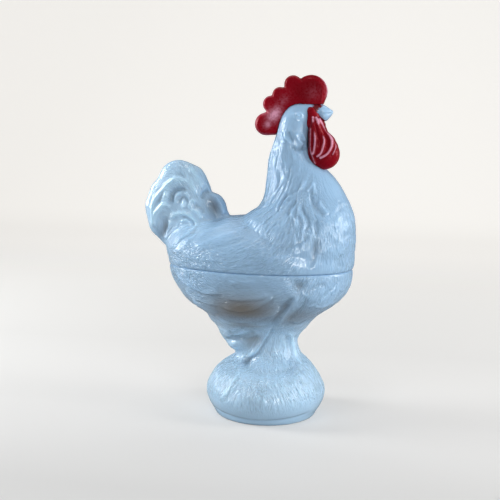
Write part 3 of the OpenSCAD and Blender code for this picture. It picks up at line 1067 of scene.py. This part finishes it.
# Drawn edges of the dish's plumage: belly feathers, fluff creases, and the folds of the legs
DISH_LINES = (
    Line(((-43, 91), (-34.5, 85.7), (-25, 82.3), (-17.5, 81.2), (-9, 82)), 1.3, 1.3, Edge.STEP),
    Line(((-36, 82), (-31.5, 77.5), (-25.5, 76), (-18, 74.6), (-10, 74)), 1.3, 1.3, Edge.STEP),
    Line(((-32, 76.5), (-27.5, 72.7), (-20, 69.5), (-11, 68.4)), 1.1, 1.2, Edge.STEP),
    Line(((-30.5, 74), (-24, 67.5), (-15.5, 65.5)), 0.9, 1.2, Edge.STEP),
    Line(((-5, 89), (1, 90.6), (7.5, 91), (14, 90.4)), 0.4, 1.2),
    Line(((-10, 74), (0.5, 71.8), (10.5, 73.6), (20, 79), (24.5, 83.5)), 1.0, 1.4, Edge.STEP),
    Line(((-5.6, 79), (5, 79), (15.3, 80.5), (21.5, 84)), 0.7, 1.3, Edge.STEP),
    Line(((-11.8, 65), (0.4, 64), (12.4, 66.5), (23.8, 71), (31.8, 76)), 0.9, 1.3, Edge.STEP),
    Line(((36, 84), (32, 78.5), (28, 73.5), (24, 68), (20, 63)), -1.0, 1.2),
    Line(((38.5, 84), (35, 78), (31, 73), (27, 67), (23, 61)), 0.7, 1.1),
    Line(((43.7, 81.6), (40.7, 76.6), (36, 71.5), (31, 66)), -0.8, 1.1),
    Line(((54, 90.5), (46.6, 88), (41.5, 84)), -0.6, 1.1),
    Line(((62, 91.8), (56, 84.7), (48.7, 78.7), (43.6, 76.4)), 0.7, 1.3, Edge.STEP),
    Line(((59, 77.3), (52, 75.3), (46.5, 76.2)), 0.6, 1.2),
    Line(((31, 65), (36.5, 62), (42, 64.5), (46, 67)), -0.8, 1.1),
    Line(((-16, 63.5), (-5, 61.3), (7.5, 62), (19.5, 63)), 1.2, 1.2, Edge.STEP),
    Line(((-8.7, 56), (-5.7, 53.8), (-1.3, 56), (2.5, 60.5)), -0.7, 1.1),
    Line(((-13, 47.5), (-8.6, 48.6), (-1.6, 51), (5, 53.7), (10, 56.7)), -1.3, 1.5),
    Line(((-1, 34.5), (3.1, 36.5), (9.8, 42), (14.2, 49), (18, 55.5), (21.2, 62)), 1.6, 1.4, Edge.STEP),
    Line(((-9, 51), (-2, 50), (5, 50.5), (12, 53)), -1.1, 1.4),
    Line(((1.6, 38), (1.2, 32.5), (-0.6, 28), (-3.6, 22.5), (-7.5, 17), (-10.5, 13)), 0.9, 1.3),
    Line(((31.5, 56), (32, 48), (33.8, 41.6), (37.5, 36), (39.8, 32.5)), 0.9, 1.1),
    Line(((33.6, 54), (34, 47), (36, 40), (40, 35)), -0.6, 1.0),
    Line(((28.5, 55.5), (29.2, 48.4), (30.5, 41.8), (32, 36)), -0.7, 1.4),
    Line(((6.5, 32.7), (14.4, 32.5), (22.4, 32.4), (30, 33.3), (37, 34)), -0.5, 1.3),
    Line(((-19, 6.2), (-8, 4.6), (14, 3.6), (36, 5), (46, 7)), -0.5, 0.9),
)

# Folds of the wattles, their ridges worn pale and also carrying painted highlights
WATTLE_FOLDS = (
    Line(((40.8, 191), (42.4, 184), (43.2, 178), (43.1, 172.5), (42.2, 166.5)), 0.9, 0.85, run_out=0.04),
    Line(((42.3, 191), (45.6, 184), (47.9, 179), (48.6, 174.5), (47.2, 168.5), (44, 165.5)),
         0.9, 0.8, run_out=0.04),
    Line(((44.6, 190), (48.4, 183), (52, 178), (53.2, 173.5), (51, 168), (45.5, 164.5)),
         0.9, 0.95, run_out=0.04),
    Line(((50.8, 181.5), (54.6, 176), (55.4, 171.5), (53.6, 166.5)), 0.7, 0.65, run_out=0.06),
    Line(((40.4, 184), (40.4, 177.5), (40.5, 170.5), (41.8, 166), (44, 161)), 0.7, 0.65, run_out=0.04),
    Line(((41.6, 188), (43.6, 181), (45.6, 176), (46, 170)), -0.9, 0.8),
    Line(((44.6, 187), (48, 180), (50.9, 175.5), (50, 170)), -0.9, 0.8),
)


# ---------------------------------------------------------------- the pieces


def highest(swells: tuple[Swell, ...], points: Array) -> Array:
    """The highest of some overlapping soft spots, at points."""
    total = np.zeros(len(points))
    for swell in swells:
        total = np.maximum(total, swell.height_at(points[:, (0, 2)]))
    return total


def seam_mm() -> float:
    """The level at which the cover rests on the dish, in millimetres."""
    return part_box("cover")[0].z / M_PER_MM


@dataclass
class BirdHalf:
    """What the cover and the dish share: glass with forms, feathers and streaks pressed in."""

    patches: tuple[Patch, ...]
    swells: tuple[Swell, ...]
    lines: tuple[Line, ...]
    # soft spots of painted shade, stored as the shade mask
    shades: tuple[Swell, ...]
    feather_seed: int
    strand_seed: int
    hatch_seed: int
    hatch_share: float
    cell_mm: float = 1.2
    rim_guard_mm: float = 1.2
    seam_margin_mm: float = 0.5
    least_bulk: float = 0.2

    def meshed(self, node: str, low_mm: float, high_mm: float) -> tuple[bpy.types.Object, Sculpt]:
        """Meshes the piece, and starts on its big forms.

        Args:
            node: The solid's name in the frame.
            low_mm: Level of the lower rim of its outer skin.
            high_mm: Level of the upper rim.

        Returns:
            The piece, and its outer skin with the big forms gathered.
        """
        obj = remeshed_copy(node, node + "_glass", self.cell_mm, 2)
        skin = Sculpt(obj.data, refine_skin(obj, low_mm, high_mm))
        skin.forms(self.swells)
        return obj, skin

    def press_plumage(self, skin: Sculpt, roots: Array, guard: Array) -> None:
        """Presses lines, feathers and streaks into the skin, and stores their lay and the painted
        shading of their relief.

        Args:
            skin: The outer skin.
            roots: Its vertices where feathers may root, as true or false.
            guard: Share of the relief that each vertex takes.
        """
        plumage = Plumage(self.patches)
        skin.forms(self.lines)
        skin.feathers(plumage, roots, self.feather_seed)
        skin.streaks(plumage, Streak.STRAND, STRAND_RUN_MM, self.strand_seed)
        skin.streaks(plumage, Streak.HATCH, HATCH_RUN_MM, self.hatch_seed, self.hatch_share)
        skin.write_lay(plumage)
        skin.press(guard)
        skin.write_relief_shading()


@dataclass
class Cover(BirdHalf):
    """The lift-off upper half of the bird: back, breast, neck, head and tail."""

    patches: tuple[Patch, ...] = COVER_PLUMAGE
    swells: tuple[Swell, ...] = COVER_SWELLS
    lines: tuple[Line, ...] = COVER_LINES
    # painted shade in the tail's pockets and beside the wing's front edge
    shades: tuple[Swell, ...] = (
        Swell(-21.5, 133, 7, 4.4, 0.6, -56), Swell(-54.5, 117.5, 7, 3, 0.45, 70),
        Swell(-47, 138, 3.4, 2.6, 0.2), Swell(46.6, 111, 4, 7, 0.2))
    feather_seed: int = 7
    strand_seed: int = 3
    hatch_seed: int = 4
    hatch_share: float = 0.6
    beak_corner: tuple[float, float] = (42.8, 192.8)
    bare_spots: tuple[tuple[float, float], ...] = ((42.7, 198.6), (46.4, 198.0))

    def build(self) -> bpy.types.Object:
        """Meshes the cover and presses its feathers in."""
        seam = seam_mm()
        obj, skin = self.meshed("cover", seam + self.seam_margin_mm, math.inf)
        skin.press(self.guard(skin, seam))
        skin = Sculpt(obj.data, skin.rows)
        self.press_plumage(skin, skin.places[:, 1] <= 0.0, self.guard(skin, seam))
        close_seam(obj.data, seam, above=True)
        points = read_points(obj.data)
        x, z = points[:, 0], points[:, 2]
        tail = smooth(-16, -30, x) * smooth(108, 124, z)
        rump = 0.35 * smooth(-24, -48, x)
        write_mask(obj.data, "bulk", np.maximum(tail, np.maximum(rump, self.least_bulk)))
        write_mask(obj.data, "paint", self.face_paint(x, z))
        # painted shade mask
        write_mask(obj.data, "shade", highest(self.shades, points))
        return obj

    def guard(self, skin: Sculpt, seam: float) -> Array:
        """Share of the relief that the skin takes, none at the seam."""
        return smooth(0.2, self.rim_guard_mm, skin.places[:, 2] - seam)

    def face_paint(self, x: Array, z: Array) -> Array:
        """Where red enamel runs over the cover's face, between comb, wattles, hood and beak.

        Args:
            x: Places of the vertices along the bird, in millimetres.
            z: Their levels, in millimetres.

        Returns:
            The share of enamel at each vertex.
        """
        face = smooth(39.8, 41.2, x) * smooth(185, 187, z)
        corner_x, corner_z = self.beak_corner
        over = (z - corner_z) - 1.1 * (x - corner_x)
        under = (corner_z - z) - 0.85 * (x - corner_x)
        beak = smooth(0.3, -0.4, over) * smooth(0.3, -0.4, under)
        for spot_x, spot_z in self.bare_spots:
            spot = np.exp(-((x - spot_x) / 1.5) ** 2 - ((z - spot_z) / 0.9) ** 2)
            beak = np.maximum(beak, 0.9 * spot)
        return smooth(0.3, 0.7, face * (1.0 - beak))


@dataclass
class Dish(BirdHalf):
    """The lower half of the bird: bowl, belly, legs and round foot."""

    patches: tuple[Patch, ...] = DISH_PLUMAGE
    swells: tuple[Swell, ...] = DISH_SWELLS
    lines: tuple[Line, ...] = DISH_LINES
    # painted shade under the belly, in its hollow and notches, between fluff and leg, and above the foot
    shades: tuple[Swell, ...] = (
        Swell(4, 73.5, 27, 10.5, 0.92), Swell(34, 68, 13, 6, 0.6, 25), Swell(4, 62, 16, 4, 0.6),
        Swell(30, 76, 4, 3, 0.5, 50), Swell(8, 50, 8, 4.5, 0.5, 35), Swell(4, 37, 4, 3, 0.3),
        Swell(2, 85, 15, 5, 0.25), Swell(38, 89, 3.5, 3.5, 0.35))
    feather_seed: int = 11
    strand_seed: int = 5
    hatch_seed: int = 6
    hatch_share: float = 0.65
    seam_margin_mm: float = 0.7
    foot_margin_mm: float = 0.7
    feathers_above_mm: float = 40

    def build(self) -> bpy.types.Object:
        """Meshes the dish and presses its feathers in."""
        seam = seam_mm()
        obj, skin = self.meshed("dish", self.foot_margin_mm, seam - self.seam_margin_mm)
        z = skin.places[:, 2]
        guard = smooth(0.4, self.rim_guard_mm, seam - z) * smooth(1.0, 3.0, z)
        skin.press(guard)
        skin = Sculpt(obj.data, skin.rows)
        roots = (skin.places[:, 1] <= 0.0) & (skin.places[:, 2] > self.feathers_above_mm)
        self.press_plumage(skin, roots, guard)
        close_seam(obj.data, seam, above=False)
        points = read_points(obj.data)
        write_mask(obj.data, "bulk", np.maximum(smooth(66, 58, points[:, 2]), self.least_bulk))
        # painted shade mask
        write_mask(obj.data, "shade", highest(self.shades, points))
        return obj


@dataclass
class Comb:
    """The enamelled comb along the top of the head."""

    cell_mm: float = 0.5
    # spots of wear, and of painted sheen on the rear lobes
    worn_and_sheen: tuple[Swell, ...] = (
        Swell(16.5, 191.5, 6.5, 4.2, 1.0, 50), Swell(12.6, 185.5, 3.2, 2.6, 0.8, 50),
        Swell(22, 200, 6, 3.4, 0.35, 45), Swell(41, 205, 5, 5, 0.28))

    def build(self) -> bpy.types.Object:
        """Meshes the comb and marks where its enamel is worn, and where a pale painted sheen lies on its
        rear lobes.
        """
        obj = remeshed_copy("comb", "comb_enamel", self.cell_mm, 3)
        points = read_points(obj.data)
        rim = smooth(0.92, 0.4, np.abs(read_normals(obj.data)[:, 1]))
        front_rim = rim * smooth(38, 46, points[:, 0]) * smooth(200, 206, points[:, 2])
        back_rim = rim * smooth(22, 8, points[:, 0])
        worn_and_sheen = highest(self.worn_and_sheen, points)
        write_mask(obj.data, "wear_and_sheen", np.clip(worn_and_sheen + 0.8 * front_rim + 0.6 * back_rim, 0, 1))
        return obj


@dataclass
class Wattles:
    """The enamelled face and the two folded wattles under the beak."""

    cell_mm: float = 0.45
    folds: tuple[Line, ...] = WATTLE_FOLDS

    def build(self) -> bpy.types.Object:
        """Meshes the wattles, folds them, and marks their fold ridges pale, as worn enamel and painted
        highlights.
        """
        obj = remeshed_copy("wattles", "wattles_enamel", self.cell_mm, 3)
        skin = Sculpt(obj.data)
        skin.forms(self.folds)
        skin.press()
        # wear and painted highlight along the fold ridges
        write_mask(obj.data, "wear_and_sheen", 0.9 * smooth(0.3, 0.8, skin.height))
        return obj


# ---------------------------------------------------------------- the studio


@dataclass(frozen=True)
class Softbox:
    """A rectangular soft light that faces the bird: place and size in metres, power in watts."""

    name: str
    place: tuple[float, float, float]
    size: tuple[float, float]
    power: float
    colour: RGB = (1.0, 1.0, 1.0)

    def build(self) -> None:
        """Hangs the light."""
        light = bpy.data.lights.new(self.name, "AREA")
        light.shape = "RECTANGLE"
        light.size, light.size_y = self.size
        light.energy = self.power
        light.color = self.colour
        obj = bpy.data.objects.new(self.name, light)
        obj.location = self.place
        aim = Vector(BIRD_MIDDLE_M) - Vector(self.place)
        obj.rotation_euler = aim.to_track_quat("-Z", "Y").to_euler()
        bpy.context.scene.collection.objects.link(obj)


@dataclass
class Studio:
    """Floor, backdrop, soft lights and camera."""

    lens_mm: float = 59.8
    sensor_mm: float = 36.0
    camera_mm: tuple[float, float, float] = (94.2, -522.9, 170.5)
    down_deg: float = 7.0
    round_deg: float = 10.0
    tilt_deg: float = 1.0
    sweep_half_m: float = 2.5
    sweep_front_m: float = -3.0
    sweep_back_m: float = 1.1
    sweep_bend_m: float = 0.8
    sweep_rise_m: float = 1.5
    boxes: tuple[Softbox, ...] = (
        Softbox("top box", (-0.1, -0.45, 1.1), (0.25, 0.2), 1.5, (1.0, 1.0, 0.99)),
        Softbox("left box", (-0.8, 0.0, 0.36), (0.3, 0.5), 6.4, (0.97, 0.99, 1.0)),
        Softbox("right box", (0.8, 0.0, 0.36), (0.3, 0.5), 4.3),
        Softbox("front box", (0.6, -1.0, 0.14), (0.4, 0.2), 3.6),
        Softbox("backdrop box", (0.0, 0.7, 1.5), (2.0, 0.5), 5.5, (1.0, 0.98, 0.95)),
    )

    def sweep(self, paper: bpy.types.Material) -> None:
        """The seamless floor and backdrop."""
        bm = bmesh.new()
        ends = (-self.sweep_half_m, self.sweep_half_m)
        edge = bm.edges.new([bm.verts.new((x, self.sweep_front_m, 0.0)) for x in ends])
        edge, verts = self.run_edge(bm, edge, (0.0, self.sweep_back_m - self.sweep_front_m, 0.0))
        bmesh.ops.spin(bm, geom=[edge, *verts], cent=(0.0, self.sweep_back_m, self.sweep_bend_m),
                       axis=(1.0, 0.0, 0.0), angle=math.radians(90), steps=24, use_duplicate=False)
        top = [v for v in bm.verts if v.co.z > self.sweep_bend_m - 0.01]
        edge = next(e for e in bm.edges if all(v in top for v in e.verts))
        self.run_edge(bm, edge, (0.0, 0.0, self.sweep_rise_m))
        bmesh.ops.recalc_face_normals(bm, faces=bm.faces)
        mesh = bpy.data.meshes.new("sweep")
        bm.to_mesh(mesh)
        bm.free()
        mesh.materials.append(paper)
        obj = bpy.data.objects.new("sweep", mesh)
        bpy.context.scene.collection.objects.link(obj)
        shade_smooth(obj)

    def run_edge(self, bm: bmesh.types.BMesh, edge: bmesh.types.BMEdge, vec: tuple[float, float, float]
                 ) -> tuple[bmesh.types.BMEdge, list[bmesh.types.BMVert]]:
        """Draws an edge out into a face.

        Args:
            bm: The mesh.
            edge: The edge.
            vec: How far and which way to draw it, in metres.

        Returns:
            The new edge and its vertices.
        """
        run = bmesh.ops.extrude_edge_only(bm, edges=[edge])["geom"]
        verts = [g for g in run if isinstance(g, bmesh.types.BMVert)]
        bmesh.ops.translate(bm, verts=verts, vec=vec)
        return next(g for g in run if isinstance(g, bmesh.types.BMEdge)), verts

    def camera(self) -> None:
        """The camera, level with the bird's head and looking slightly down."""
        data = bpy.data.cameras.new("camera")
        data.lens = self.lens_mm
        data.sensor_width = self.sensor_mm
        obj = bpy.data.objects.new("camera", data)
        turn = Matrix.Identity(4)
        for degrees, axis in ((self.round_deg, "Z"), (90 - self.down_deg, "X"), (self.tilt_deg, "Z")):
            turn = turn @ Matrix.Rotation(math.radians(degrees), 4, axis)
        obj.matrix_world = Matrix.Translation(Vector(self.camera_mm) * M_PER_MM) @ turn
        bpy.context.scene.collection.objects.link(obj)
        bpy.context.scene.camera = obj

    def world(self) -> None:
        """A pale surround, dimmer towards its top."""
        world = bpy.data.worlds.new("surround")
        world.use_nodes = True
        graph = Graph(world.node_tree)
        height = graph.add("SeparateXYZ", {"Vector": graph.add("TexCoord")["Generated"]})["Z"]
        graph.feed(world.node_tree.nodes["Background"],
                   {"Color": (0.95, 0.97, 1.0), "Strength": graph.span(height, 0.5, 0.22)})
        bpy.context.scene.world = world
        bpy.context.scene.view_settings.view_transform = "Standard"

    def build(self) -> None:
        """Sets up floor, lights, surround and camera."""
        self.sweep(SeamlessPaper().material())
        for box in self.boxes:
            box.build()
        self.camera()
        self.world()


# ---------------------------------------------------------------- assembly


def finish_piece(obj: bpy.types.Object, node: str, body: str, mat: bpy.types.Material) -> None:
    """Dresses a piece and ties it to the frame.

    Args:
        obj: The piece.
        node: The solid that it stands for.
        body: The body that it moves with.
        mat: Its material.
    """
    shade_smooth(thinned(obj))
    obj.data.materials.clear()
    obj.data.materials.append(mat)
    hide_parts(node)
    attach(obj, body)
    LOG.info("%s: %d faces on %s", obj.name, len(obj.data.polygons), body)


def main() -> None:
    """Builds every piece in order, then the studio."""
    logging.basicConfig(level=logging.INFO, format="%(name)s %(message)s")
    grain = mould_grain_group()
    glass = MilkGlass().material(grain, feather_hatch_group())
    enamel = RedEnamel().material(grain)
    finish_piece(Dish().build(), "dish", "dish", glass)
    finish_piece(Cover().build(), "cover", "cover", glass)
    finish_piece(Comb().build(), "comb", "cover", enamel)
    finish_piece(Wattles().build(), "wattles", "cover", enamel)
    Studio().build()


if __name__ == "__main__":
    main()
